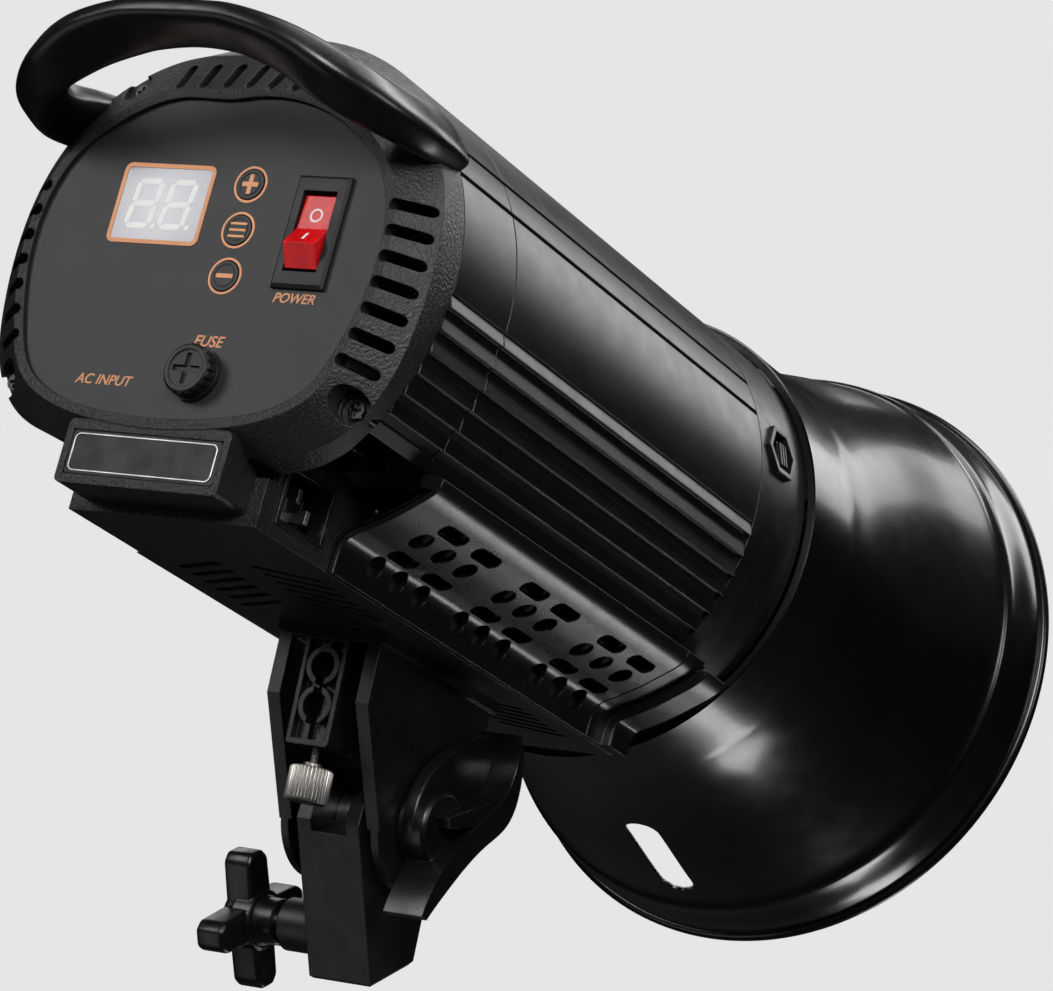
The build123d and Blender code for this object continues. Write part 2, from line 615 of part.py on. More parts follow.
def umbrella_clamp():
    body = fillet(block(-8.3, 8.3, 0, CLAMP_DEPTH, -26.5, 12.5).edges().filter_by(Axis.Y), 1.2)
    pocket = block(-6.7, 6.7, -1, 3.2, -24.6, 8.6)
    rings = [rod_y(UMBRELLA_R + 1.9, 0, z, 0, 4) for z in (0, -13.2)]
    ribs = [Pos(0, 2, z) * Rot(0, t, 0) * Box(1.5, 4, 18) for z in (-6.6, 6) for t in (38, -38)]
    inside = block(-7, 7, 0, 4, -25, 8.9)
    web = Part() + rings + ribs
    body = body - pocket + (web & inside)
    shaft = Rot(UMBRELLA_RISE - CLAMP_TILT, 0, 0) * rod_y(UMBRELLA_R, 0, 0, -3, CLAMP_DEPTH + 3)
    bores = [shaft, rod_y(UMBRELLA_R, 0, -13.2, -1, CLAMP_DEPTH + 1)]
    slit = block(-1.7, 1.7, -1, 12, -14, -3)
    screw_hole = Pos(0, CLAMP_SCREW_Y, -18) * Cylinder(1.58, 30)
    room = block(-2.2, 2.2, -1, CLAMP_SCREW_Y, -24.6, -10)
    clamp = clamp_frame(body - bores - slit - screw_hole - room)
    return clamp & block(-30, 30, 80, 200, -200, -88.35)


def umbrella_screw():
    rod = Pos(0, CLAMP_SCREW_Y, -19.9) * Cylinder(1.5, 29)
    knurl = Pos(0, CLAMP_SCREW_Y, -38.6) * Cylinder(7.3, 11.5)
    knurl = chamfer(knurl.edges().filter_by(GeomType.CIRCLE), 0.7)
    cuts = []
    for i in range(36):
        a = radians(10 * i)
        spot = Pos(7.35 * cos(a), CLAMP_SCREW_Y + 7.35 * sin(a), -38.6)
        cuts.append(spot * Rot(0, 0, 10 * i + 45) * Box(0.7, 0.7, 12))
    neck = Pos(0, CLAMP_SCREW_Y, -32.2) * Cylinder(3.2, 1.6)
    return clamp_frame(rod + neck + (knurl - cuts))


# ---------- stand receiver, in the part frame ----------
def receiver():
    profile = [(-BLOCK_HALF, 0), (-BLOCK_HALF, 56), (-8, 62), (2, 65), (10, 67), (22, 62), (27, 50),
               (25, 36), (20, 14), (12.3, 0)]
    body = sideways(profile, -BLOCK_HALF, BLOCK_HALF)
    body = chamfer(body.faces().sort_by(Axis.Z)[0].edges(), 1.0)
    body += rod_x(9.0, 0, KNOB_Z, -27, -BLOCK_HALF)
    body -= block(-6.8, 6.8, -14, 30, 52, 70)
    body -= rod_x(11.5, PIVOT_Y, PIVOT_Z, -6.8, 6.8)
    body -= rod_x(BOLT_R + 0.05, PIVOT_Y, PIVOT_Z, -20, 20)
    body -= Pos(0, 0, SOCKET_DEPTH / 2 - 1) * Cylinder(9.5, SOCKET_DEPTH + 2)
    return body - rod_x(3.1, 0, KNOB_Z, -30, 0)


def socket_sleeve():
    sleeve = Pos(0, 0, SOCKET_DEPTH / 2) * Cylinder(9.4, SOCKET_DEPTH)
    sleeve -= Pos(0, 0, SOCKET_DEPTH / 2) * Cylinder(SOCKET_R, SOCKET_DEPTH + 2)
    return sleeve - rod_x(3.1, 0, KNOB_Z, -12, 0)


def tilt_bolt():
    shank = rod_x(BOLT_R, PIVOT_Y, PIVOT_Z, -21, 30)
    head = Plane(origin=(-24.2, PIVOT_Y, PIVOT_Z), z_dir=(1, 0, 0)) * RegularPolygon(7.2, 6)
    return shank + extrude(head, 3.5)


def bolt_spacer():
    tube = rod_x(9, PIVOT_Y, PIVOT_Z, -6.6, 6.6)
    return tube - rod_x(BOLT_R + 0.05, PIVOT_Y, PIVOT_Z, -8, 8)


def friction_discs():
    disc = rod_x(13.5, PIVOT_Y, PIVOT_Z, BLOCK_HALF + 0.05, CHEEK_IN - 1.7)
    return both_sides(disc - rod_x(BOLT_R + 0.05, PIVOT_Y, PIVOT_Z, 10, 20))


LEVER_UPPER = [(48.0, 72.0), (46.6, 62.6), (36.0, 52.8), (21.3, 49.0), (4.1, 43.7), (-7.5, 36.9),
               (-15.7, 29.2)]
LEVER_LOWER = [(-13.0, 27.0), (0.5, 33.0), (24.5, 40.6), (38.8, 44.2), (48.6, 57.5), (49.8, 71.0)]


def tilt_lever():
    """S-shaped wing on the right end of the tilt bolt."""
    plane = Plane(origin=(21.9, 0, 0), x_dir=(0, 1, 0), z_dir=(1, 0, 0))
    edges = [Spline(*LEVER_UPPER), Line(LEVER_UPPER[-1], LEVER_LOWER[0]), Spline(*LEVER_LOWER)]
    edges.append(Line(LEVER_LOWER[-1], LEVER_UPPER[0]))
    wing = extrude(plane * make_face(edges), amount=15.1)
    hub = rod_x(12.5, PIVOT_Y, PIVOT_Z, CHEEK_OUT + 0.9, 31)
    hub = fillet(hub.edges().filter_by(GeomType.CIRCLE).sort_by(Axis.X)[-1], 2)
    shelf = sideways([(6, 52), (6, 56), (34, 53.5), (37.5, 49), (30, 46)], 22.5, 36)
    return wing + hub + shelf - rod_x(BOLT_R + 0.05, PIVOT_Y, PIVOT_Z, 15, 30.2)


def star_knob():
    hub = rod_x(7.4, 0, KNOB_Z, -39, -30.3) + rod_x(11, 0, KNOB_Z, -49.5, -38.5)
    arms = []
    for i in range(4):
        arm = Pos(-44, 0, 0) * extrude(Pos(0, 0, 9) * Rectangle(11, 10.4), 14.5)
        arm = fillet(arm.edges().filter_by(Axis.Z), 2.2)
        arm = fillet(arm.faces().sort_by(Axis.Z)[-1].edges(), 2.4)
        arms.append(Pos(0, 0, KNOB_Z) * Rot(90 * i, 0, 0) * arm)
    return hub + arms - rod_x(3.05, 0, KNOB_Z, -46, -30)


def knob_stud():
    return rod_x(3.0, 0, KNOB_Z, -45.8, -8.6) + rod_x(4.4, 0, KNOB_Z, -30.2, -27.3)


# ---------- build ----------
def build():
    head = {
        "rear_bezel": rear_bezel(), "carry_handle": carry_handle(), "control_panel": control_panel(),
        "panel_film": panel_film(), "display_window": display_window(),
        "display_module": display_module(), "button_board": button_board(),
        "switch_frame": switch_frame(), "power_rocker": power_rocker(), "rocker_pin": rocker_pin(),
        "switch_terminals": switch_terminals(), "fuse_holder": fuse_holder(), "fuse_cap": fuse_cap(),
        "fuse_link": fuse_link(), "badge_plate": badge_plate(), "bezel_screws": bezel_screws(),
        "rear_collar": rear_collar(), "main_barrel": main_barrel(),
        "front_ring": front_ring(), "latch_housing": latch_housing(),
        "release_latch": release_latch(), "latch_spring": latch_spring(), "bottom_tray": bottom_tray(),
        "side_cover_right": side_cover(), "side_cover_left": mirror(side_cover(), Plane.YZ),
        "front_cap_right": front_cap(), "front_cap_left": mirror(front_cap(), Plane.YZ),
        "front_bridge": front_bridge(), "mains_inlet": mains_inlet(),
        "inlet_pins": inlet_pins(), "driver_board": driver_board(), "driver_parts": driver_parts(),
        "control_board": control_board(), "fan_frame": fan_frame(), "fan_rotor": fan_rotor(),
        "heat_sink": heat_sink(), "led_board": led_board(), "led_emitter": led_emitter(),
        "led_cup": led_cup(), "front_plate": front_plate(), "glass_dome": glass_dome(),
        "bayonet_mount": bayonet_mount(), "reflector_bayonet": reflector_bayonet(),
        "reflector_bowl": reflector_bowl(),
        "cradle": cradle(), "cradle_bolts": cradle_bolts(), "umbrella_clamp": umbrella_clamp(),
        "umbrella_screw": umbrella_screw(),
    }
    for name, height in BUTTON_HEIGHTS.items():
        head[name] = button(height)
    stand = {
        "receiver": receiver(), "socket_sleeve": socket_sleeve(), "tilt_bolt": tilt_bolt(),
        "bolt_spacer": bolt_spacer(), "friction_discs": friction_discs(),
        "tilt_lever": tilt_lever(), "star_knob": star_knob(), "knob_stud": knob_stud(),
    }
    placed = {name: in_head(shape) for name, shape in head.items()}
    placed.update(stand)
    return placed


os.makedirs("parts", exist_ok=True)
for node, shape in build().items():
    export_step(shape, f"parts/{node}.step")
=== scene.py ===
import math

import bmesh
import bpy
from mathutils import Matrix, Vector

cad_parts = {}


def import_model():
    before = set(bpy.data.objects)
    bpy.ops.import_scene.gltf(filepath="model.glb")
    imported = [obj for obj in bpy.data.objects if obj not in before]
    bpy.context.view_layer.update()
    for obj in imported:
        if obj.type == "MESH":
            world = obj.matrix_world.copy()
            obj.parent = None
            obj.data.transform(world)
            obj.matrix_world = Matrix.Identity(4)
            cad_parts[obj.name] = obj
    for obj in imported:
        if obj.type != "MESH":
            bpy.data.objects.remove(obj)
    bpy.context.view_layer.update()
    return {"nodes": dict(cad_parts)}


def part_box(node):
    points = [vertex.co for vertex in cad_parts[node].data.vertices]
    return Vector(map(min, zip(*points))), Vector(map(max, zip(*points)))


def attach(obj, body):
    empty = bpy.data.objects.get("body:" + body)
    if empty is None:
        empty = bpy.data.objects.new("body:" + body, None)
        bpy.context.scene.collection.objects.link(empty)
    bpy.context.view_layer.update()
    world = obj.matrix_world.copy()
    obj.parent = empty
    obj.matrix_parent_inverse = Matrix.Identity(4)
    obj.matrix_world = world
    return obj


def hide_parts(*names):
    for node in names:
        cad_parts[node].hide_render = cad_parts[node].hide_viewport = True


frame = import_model()
NODES = frame["nodes"]

# The head is drawn in its own frame in millimetres, +Y along the light's axis, origin on the panel.
# The stand is drawn in millimetres in the frame of the part.
TILT = math.radians(34)
HEAD_POSE = Matrix.Translation((0, -0.0525, 0.256)) @ Matrix.Rotation(-TILT, 4, "X")
STAND = Matrix.Scale(0.001, 4)
HEAD = HEAD_POSE @ STAND

BARREL_R = 79.8
COLLAR_Y = (21.95, 54.85)
BARREL_Y = (55.15, 228.35)
RIM_R, RIM_Y = 110.4, 408.0
DISPLAY_X, DISPLAY_Z = -21, 12.7
BUTTON_X = 10.8
BUTTON_Z = {"up": 20.8, "mode": 5.5, "down": -9.8}
ROCKER_X = 39.2
BADGE_Z = -70.7


# ---------- materials ----------
class Graph:
    """A small helper around a material's node tree."""

    def __init__(self, name):
        self.mat = bpy.data.materials.new(name)
        self.mat.use_nodes = True
        self.tree = self.mat.node_tree
        self.bsdf = self.tree.nodes["Principled BSDF"]
        self.coord = self.node("ShaderNodeTexCoord").outputs["Object"]

    def node(self, kind, **inputs):
        made = self.tree.nodes.new(kind)
        for key, value in inputs.items():
            made.inputs[key.replace("_", " ")].default_value = value
        return made

    def link(self, a, b):
        self.tree.links.new(a, b)

    def noise(self, scale, detail=2.0, rough=0.5, stretch=None):
        tex = self.node("ShaderNodeTexNoise", Scale=scale, Detail=detail, Roughness=rough)
        source = self.coord
        if stretch:
            turn = self.node("ShaderNodeMapping")
            turn.inputs["Rotation"].default_value = (TILT, 0, 0)
            turn.inputs["Scale"].default_value = stretch
            self.link(source, turn.inputs["Vector"])
            source = turn.outputs["Vector"]
        self.link(source, tex.inputs["Vector"])
        return tex.outputs["Fac"]

    def spread(self, value, low, high, start=0.3, end=0.7):
        node = self.node("ShaderNodeMapRange")
        node.inputs["From Min"].default_value = start
        node.inputs["From Max"].default_value = end
        node.inputs["To Min"].default_value = low
        node.inputs["To Max"].default_value = high
        self.link(value, node.inputs["Value"])
        return node.outputs["Result"]

    def tint(self, value, dark, light):
        node = self.node("ShaderNodeMix")
        node.data_type = "RGBA"
        for socket in node.inputs:
            if socket.type == "RGBA" and socket.identifier.startswith("A"):
                socket.default_value = (*dark, 1)
            if socket.type == "RGBA" and socket.identifier.startswith("B"):
                socket.default_value = (*light, 1)
        self.link(value, node.inputs["Factor"])
        return [s for s in node.outputs if s.type == "RGBA"][0]

    def bump(self, value, distance, strength=1.0, normal=None):
        node = self.node("ShaderNodeBump", Strength=strength, Distance=distance)
        self.link(value, node.inputs["Height"])
        if normal:
            self.link(normal, node.inputs["Normal"])
        return node.outputs["Normal"]

    def rounded(self, radius):
        node = self.node("ShaderNodeBevel", Radius=radius)
        node.samples = 4
        return node.outputs["Normal"]


def surface(name, color, rough, metal=0.0, vary=0.2, grain=None, lines=None, edge=0.0003, coat=0.0,
            rough_vary=0.06, specular=0.5):
    """Opaque finish: slow colour and gloss variation, a fine grain and rounded edges.

    grain is (cells per metre, depth in metres); lines is (cells per metre, depth, stretch).
    """
    g = Graph(name)
    slow = g.noise(38, 4)
    dark = [c * (1 - vary) for c in color]
    light = [min(1, c * (1 + vary)) for c in color]
    g.link(g.tint(g.spread(slow, 0, 1), dark, light), g.bsdf.inputs["Base Color"])
    smear = g.noise(120, 5, 0.6)
    g.link(g.spread(smear, rough - rough_vary, rough + rough_vary), g.bsdf.inputs["Roughness"])
    g.bsdf.inputs["Metallic"].default_value = metal
    g.bsdf.inputs["Specular IOR Level"].default_value = specular
    if coat:
        g.bsdf.inputs["Coat Weight"].default_value = coat
        g.bsdf.inputs["Coat Roughness"].default_value = 0.06
    normal = g.rounded(edge) if edge else None
    if grain:
        normal = g.bump(g.noise(grain[0], 3, 0.6), grain[1], 1.0, normal)
    if lines:
        normal = g.bump(g.noise(lines[0], 2, 0.5, lines[2]), lines[1], 1.0, normal)
    if normal:
        g.link(normal, g.bsdf.inputs["Normal"])
    return g.mat


def clear(name, color, rough, transmission):
    """Clear finish with a slight haze."""
    g = Graph(name)
    g.link(g.spread(g.noise(300, 3), rough, rough + 0.08), g.bsdf.inputs["Roughness"])
    g.link(g.tint(g.noise(60, 2), color, [min(1, c * 1.1) for c in color]), g.bsdf.inputs["Base Color"])
    g.bsdf.inputs["Transmission Weight"].default_value = transmission
    g.bsdf.inputs["IOR"].default_value = 1.45
    return g.mat


BLACK = (0.0040, 0.0041, 0.0043)
FINISH = {
    "grained": surface("grained_black", (0.013, 0.0132, 0.0137), 0.38, grain=(950, 0.0005), edge=0.0006),
    "cover": surface("cover_black", (0.005, 0.0051, 0.0054), 0.29, grain=(1500, 0.00005), edge=0.0005,
                     rough_vary=0.03),
    # Matte black for the sheet behind the cover holes: painted shade for the head's inside.
    "screen": surface("painted_shade_black", (0.003, 0.003, 0.003), 0.7, grain=(900, 0.0001), edge=0, specular=0.2),
    "satin": surface("satin_black", BLACK, 0.33, grain=(1700, 0.00002), edge=0.0005, rough_vary=0.04),
    "shell": surface("shell_black", (0.0042, 0.0043, 0.0046), 0.36, grain=(1600, 0.00002), edge=0.0006),
    "handle": surface("handle_black", BLACK, 0.30, grain=(1800, 0.000012), edge=0.0008),
    "panel": surface("panel_grey", (0.0135, 0.014, 0.0148), 0.5, vary=0.05, grain=(2600, 0.000015),
                     edge=0.0002, rough_vary=0.012),
    "print": surface("orange_print", (0.68, 0.30, 0.145), 0.55, vary=0.1, grain=(3000, 0.00001), edge=0),
    "white_print": surface("white_print", (0.78, 0.78, 0.76), 0.5, vary=0.05, grain=(3000, 0.00001), edge=0),
    "switch_black": surface("switch_black", (0.008, 0.008, 0.0085), 0.42, grain=(1100, 0.00002), edge=0.0004,
                            specular=0.3),
    "gloss": surface("gloss_black", (0.010, 0.010, 0.0105), 0.24, grain=(900, 0.000015), edge=0.0003),
    "bracket": surface("bracket_black", (0.004, 0.004, 0.0042), 0.40, grain=(1400, 0.00004), edge=0.0005),
    "casting": surface("casting_black", (0.006, 0.006, 0.0063), 0.42, grain=(1500, 0.00004), edge=0.0007),
    "knob": surface("knob_black", (0.004, 0.004, 0.0042), 0.30, grain=(1500, 0.00001), edge=0.0006),
    "bowl": surface("bowl_black", (0.0030, 0.0030, 0.0031), 0.21, grain=(1800, 0.000006), edge=0.0002,
                    rough_vary=0.03, coat=0.08, specular=0.42),
    "bowl_inside": surface("bowl_silver", (0.86, 0.86, 0.87), 0.42, metal=0.6, vary=0.04,
                           grain=(700, 0.00008), edge=0),
    "nickel": surface("nickel", (0.34, 0.325, 0.30), 0.38, metal=1.0, vary=0.08, grain=(2500, 0.00001),
                      edge=0.0002),
    "steel": surface("zinc_steel", (0.42, 0.42, 0.43), 0.34, metal=1.0, vary=0.1,
                     lines=(400, 0.00001, (1, 12, 12)), edge=0.0003),
    "oxide": surface("black_screws", (0.03, 0.03, 0.032), 0.34, metal=1.0, grain=(1800, 0.00001)),
    "brass": surface("contact_brass", (0.62, 0.46, 0.20), 0.3, metal=1.0, grain=(1800, 0.00001)),
    "aluminium": surface("bare_aluminium", (0.66, 0.67, 0.68), 0.36, metal=1.0, vary=0.06,
                         lines=(500, 0.00002, (10, 1, 10))),
    "board": surface("board_green", (0.012, 0.085, 0.035), 0.42, grain=(900, 0.00003)),
    "fibre": surface("friction_fibre", (0.07, 0.045, 0.028), 0.75, grain=(1200, 0.00006)),
    "badge": surface("badge_grey", (0.007, 0.0072, 0.0078), 0.3, vary=0.1, lines=(900, 0.00001, (1, 14, 14)),
                     specular=0.14),
    "heat_sink": surface("anodised_black", (0.012, 0.012, 0.013), 0.4, metal=0.6,
                         lines=(500, 0.00002, (10, 1, 10))),
    "led": surface("led_phosphor", (0.80, 0.62, 0.10), 0.5, grain=(1500, 0.00003)),
    "white_board": surface("led_board_white", (0.80, 0.80, 0.77), 0.4, grain=(1500, 0.00001)),
    "glass": clear("dome_glass", (0.92, 0.95, 0.96), 0.12, 0.92),
}


def red_rocker():
    """Translucent red, with a faint painted glow as if lit from behind."""
    g = Graph("rocker_red")
    depth = g.spread(g.noise(160, 3), 0, 1)
    g.link(g.tint(depth, (0.42, 0.002, 0.004), (0.72, 0.006, 0.010)), g.bsdf.inputs["Base Color"])
    g.link(g.spread(g.noise(500, 3), 0.2, 0.3), g.bsdf.inputs["Roughness"])
    g.bsdf.inputs["Transmission Weight"].default_value = 0.2
    g.bsdf.inputs["IOR"].default_value = 1.4
    # Painted glow: a faint red emission stands for light coming through the translucent plastic.
    g.bsdf.inputs["Emission Color"].default_value = (0.5, 0.0, 0.004, 1)
    g.bsdf.inputs["Emission Strength"].default_value = 0.12
    g.link(g.rounded(0.0005), g.bsdf.inputs["Normal"])
    return g.mat


def display_grey():
    """Milky window, with a painted pool of light: lighter towards its middle."""
    g = Graph("display_grey")
    lo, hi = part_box("display_window")
    turn = g.node("ShaderNodeMapping")
    turn.inputs["Location"].default_value = tuple(-(a + b) / 2 for a, b in zip(lo, hi))
    g.link(g.coord, turn.inputs["Vector"])
    length = g.node("ShaderNodeVectorMath")
    length.operation = "LENGTH"
    g.link(turn.outputs["Vector"], length.inputs[0])
    # Painted light: the window's colour is lighter in its middle and darker towards its frame.
    painted_light_fade = g.spread(length.outputs["Value"], 0, 1, 0.004, 0.020)
    g.link(g.tint(painted_light_fade, (0.40, 0.40, 0.43), (0.23, 0.23, 0.27)), g.bsdf.inputs["Base Color"])
    g.link(g.spread(g.noise(900, 3), 0.2, 0.3), g.bsdf.inputs["Roughness"])
    g.bsdf.inputs["Coat Weight"].default_value = 0.5
    g.bsdf.inputs["Coat Roughness"].default_value = 0.08
    return g.mat


def display_digit():
    """Pale, slightly uneven segments."""
    g = Graph("display_digit")
    g.link(g.tint(g.noise(240, 3), (0.60, 0.62, 0.60), (0.72, 0.74, 0.72)), g.bsdf.inputs["Base Color"])
    g.link(g.spread(g.noise(900, 3), 0.25, 0.35), g.bsdf.inputs["Roughness"])
    return g.mat


FINISH["rocker"] = red_rocker()
FINISH["display"] = display_grey()
FINISH["digit"] = display_digit()

CAD_FINISH = {
    "grained": ["rear_bezel", "bottom_tray"],
    "cover": ["side_cover_right", "side_cover_left", "front_cap_right", "front_cap_left", "front_bridge"],
    "satin": ["main_barrel"],
    "shell": ["rear_collar", "front_ring", "latch_housing", "release_latch", "front_plate"],
    "handle": ["carry_handle"],
    "panel": ["panel_film", "control_panel", "button_up", "button_mode", "button_down"],
    "gloss": ["mains_inlet", "display_module", "driver_parts", "fan_frame", "fan_rotor"],
    "switch_black": ["switch_frame", "fuse_holder", "fuse_cap"],
    "display": ["display_window"],
    "rocker": ["power_rocker"],
    "bracket": ["cradle", "umbrella_clamp"],
    "casting": ["receiver"],
    "knob": ["tilt_lever", "star_knob"],
    "bowl": ["reflector_bowl"],
    "nickel": ["umbrella_screw"],
    "steel": ["inlet_pins", "rocker_pin", "latch_spring", "socket_sleeve", "tilt_bolt", "bolt_spacer",
              "knob_stud"],
    "oxide": ["bezel_screws", "cradle_bolts"],
    "brass": ["switch_terminals", "fuse_link"],
    "aluminium": ["led_cup"],
    "heat_sink": ["heat_sink", "bayonet_mount", "reflector_bayonet"],
    "board": ["button_board", "driver_board", "control_board"],
    "fibre": ["friction_discs"],
    "badge": ["badge_plate"],
    "led": ["led_emitter"],
    "white_board": ["led_board"],
    "glass": ["glass_dome"],
}
for finish, names in CAD_FINISH.items():
    for name in names:
        for material_slot in NODES[name].material_slots:
            material_slot.link = "OBJECT"
            material_slot.material = FINISH[finish]


# ---------- mesh helpers ----------
def piece(name, verts, faces, body, slot, finish, place=HEAD, stands_for=(), smooth=40):
    """A finished piece from points in millimetres; smooth is the angle above which edges stay sharp."""
    mesh = bpy.data.meshes.new(name)
    mesh.from_pydata([place @ Vector(v) for v in verts], [], faces)
    mesh.validate()
    obj = bpy.data.objects.new(name, mesh)
    bpy.context.scene.collection.objects.link(obj)
    finish_piece(obj, body, finish, stands_for, smooth)
    return obj


def finish_piece(obj, body, finish, stands_for=(), smooth=40):
    bm = bmesh.new()
    bm.from_mesh(obj.data)
    bmesh.ops.remove_doubles(bm, verts=bm.verts, dist=1e-7)
    bmesh.ops.recalc_face_normals(bm, faces=bm.faces)
    limit = math.radians(smooth)
    for face in bm.faces:
        face.smooth = smooth > 0
    for edge in bm.edges:
        edge.smooth = len(edge.link_faces) == 2 and edge.calc_face_angle(0) < limit
    bm.to_mesh(obj.data)
    bm.free()
    obj.data.materials.clear()
    obj.data.materials.append(FINISH[finish])
    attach(obj, body)
    if stands_for:
        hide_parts(*stands_for)


def merge(*parts):
    """Joins (verts, faces) pairs into one."""
    verts, faces = [], []
    for v, f in parts:
        base = len(verts)
        verts += list(v)
        faces += [tuple(i + base for i in face) for face in f]
    return verts, faces


def grid(rows, close_u=False, close_v=False, caps=False):
    """Faces over a grid of points: rows of equal length."""
    m, n = len(rows), len(rows[0])
    verts = [p for row in rows for p in row]
    faces = []
    for i in range(m if close_v else m - 1):
        for j in range(n if close_u else n - 1):
            a, b = i * n + j, i * n + (j + 1) % n
            c, d = ((i + 1) % m) * n + (j + 1) % n, ((i + 1) % m) * n + j
            faces.append((a, b, c, d))
    if caps:
        faces.append(tuple(range(n))[::-1])
        faces.append(tuple((m - 1) * n + j for j in range(n)))
    return verts, faces


def lathe(profile, axis="Y", centre=(0, 0, 0), steps=96):
    """Turns a closed loop of (radius, along) points about an axis through centre."""
    rows = []
    for r, t in profile:
        row = []
        for i in range(steps):
            a = 2 * math.pi * i / steps
            u, w = r * math.cos(a), r * math.sin(a)
            p = {"X": (t, u, w), "Y": (u, t, w), "Z": (u, w, t)}[axis]
            row.append(tuple(c + o for c, o in zip(p, centre)))
        rows.append(row)
    return grid(rows, close_u=True, close_v=True)


def between(low, high):
    """Solid between two outlines of equal point counts."""
    n = len(low)
    faces = [tuple(range(n)), tuple(range(2 * n - 1, n - 1, -1))]
    faces += [(i, (i + 1) % n, (i + 1) % n + n, i + n) for i in range(n)]
    return list(low) + list(high), faces


def prism(outline, y0, y1):
    """Solid between two y levels from an (x, z) outline."""
    return between([(x, y0, z) for x, z in outline], [(x, y1, z) for x, z in outline])


def round_rect(cx, cz, w, h, r, steps=6):
    """Outline of a rectangle with rounded corners."""
    points = []
    for qx, qz, start in ((1, 1, 0), (-1, 1, 90), (-1, -1, 180), (1, -1, 270)):
        for i in range(steps + 1):
            a = math.radians(start + 90 * i / steps)
            points.append((cx + qx * (w / 2 - r) + r * math.cos(a), cz + qz * (h / 2 - r) + r * math.sin(a)))
    return points


def ring_prism(outer, inner, y0, y1):
    """Flat frame between two outlines of equal point counts."""
    rows = [[(x, y0, z) for x, z in outer], [(x, y1, z) for x, z in outer],
            [(x, y1, z) for x, z in inner], [(x, y0, z) for x, z in inner]]
    return grid(rows, close_u=True, close_v=True)


def circle(cx, cz, r, steps=48):
    """Outline of a circle."""
    return [(cx + r * math.cos(2 * math.pi * i / steps), cz + r * math.sin(2 * math.pi * i / steps))
            for i in range(steps)]


def lettering(name, text, width, x, z, y, body, slot, finish, slant=0.25, weight=0.012):
    """Raised generic lettering on a plane facing backwards, centred on (x, z)."""
    curve = bpy.data.curves.new(name + "_outline", "FONT")
    curve.body = text
    curve.align_x, curve.align_y = "CENTER", "CENTER"
    curve.extrude = 0.02
    curve.offset = weight
    curve.shear = slant
    source = bpy.data.objects.new(name + "_source", curve)
    bpy.context.scene.collection.objects.link(source)
    bpy.context.view_layer.update()
    mesh = bpy.data.meshes.new_from_object(source)
    bpy.data.objects.remove(source)
    xs = [v.co.x for v in mesh.vertices]
    scale = width / (max(xs) - min(xs))
    verts = [(v.co.x * scale + x, y - v.co.z * scale, v.co.y * scale + z) for v in mesh.vertices]
    faces = [tuple(p.vertices) for p in mesh.polygons]
    bpy.data.meshes.remove(mesh)
    return piece(name, verts, faces, body, slot, finish, smooth=0)


# ---------- printed panel ----------
def digit_segments(cx, cz, w, h, t, lean):
    """Seven pointed bars of one digit, and its point, sheared by lean."""
    def sheared(points):
        return [(x + (z - cz) * lean, z) for x, z in points]

    def bar(x0, z0, x1, z1):
        length = math.hypot(x1 - x0, z1 - z0)
        ux, uz = (x1 - x0) / length * t / 2, (z1 - z0) / length * t / 2
        return sheared([(x0, z0), (x0 + ux - uz, z0 + uz + ux), (x1 - ux - uz, z1 - uz + ux), (x1, z1),
                        (x1 - ux + uz, z1 - uz - ux), (x0 + ux + uz, z0 + uz - ux)])

    left, right, gap = cx - w / 2, cx + w / 2, 0.16
    bars = []
    for z in (cz - h / 2, cz, cz + h / 2):
        bars.append(bar(left + gap, z, right - gap, z))
    for x in (left, right):
        bars.append(bar(x, cz - h / 2 + gap, x, cz - gap))
        bars.append(bar(x, cz + gap, x, cz + h / 2 - gap))
    bars.append(sheared(circle(right + 2.1, cz - h / 2, 0.9, 16)))
    return bars


def display():
    """Printed frame and the two digits."""
    outer = round_rect(DISPLAY_X, DISPLAY_Z, 35.4, 27.0, 2.6)
    inner = round_rect(DISPLAY_X, DISPLAY_Z, 32.6, 24.2, 1.4)
    piece("display_frame_print", *ring_prism(outer, inner, -0.28, 0.02), "head", "panel_print", "print")
    for i, x in enumerate((DISPLAY_X - 6.6, DISPLAY_X + 6.4)):
        bars = [prism(b, -0.16, 0.0) for b in digit_segments(x, DISPLAY_Z, 8.6, 15.0, 2.0, 0.10)]
        piece(f"display_digit_{i + 1}", *merge(*bars), "head", "display_parts", "digit", smooth=0)


def buttons():
    """Printed rings, and the plus, menu and minus icons that move with the buttons."""
    for name, z in BUTTON_Z.items():
        rim = ring_prism(circle(BUTTON_X, z, 6.1), circle(BUTTON_X, z, 5.35), -0.12, 0.02)
        piece(f"button_ring_{name}", *rim, "head", "panel_print", "print")

    def bar(name, dz, width, height, corner, top=-0.45):
        return prism(round_rect(BUTTON_X, BUTTON_Z[name] + dz, width, height, corner), top, -0.3)

    icons = {
        "up": [bar("up", 0, 6.0, 1.5, 0.3), bar("up", 0, 1.5, 6.6, 0.3, -0.46)],
        "mode": [bar("mode", dz, 6.2, 0.75, 0.2) for dz in (-2.1, 0, 2.1)],
        "down": [bar("down", 0, 6.2, 1.4, 0.3)],
    }
    for name, bars in icons.items():
        piece(f"icon_{name}", *merge(*bars), f"{name}_button", "panel_print", "print", smooth=0)


def labels():
    """Generic words by the switch, the fuse and the mains socket's side."""
    lettering("label_power", "POWER", 15.4, ROCKER_X - 0.6, -15.8, 0.0, "head", "panel_print", "print")
    lettering("label_fuse", "FUSE", 11.4, 11.4, -31.6, 0.0, "head", "panel_print", "print")
    lettering("label_input", "AC INPUT", 22.0, -24.0, -46.6, 0.0, "head", "panel_print", "print")


display()
buttons()
labels()


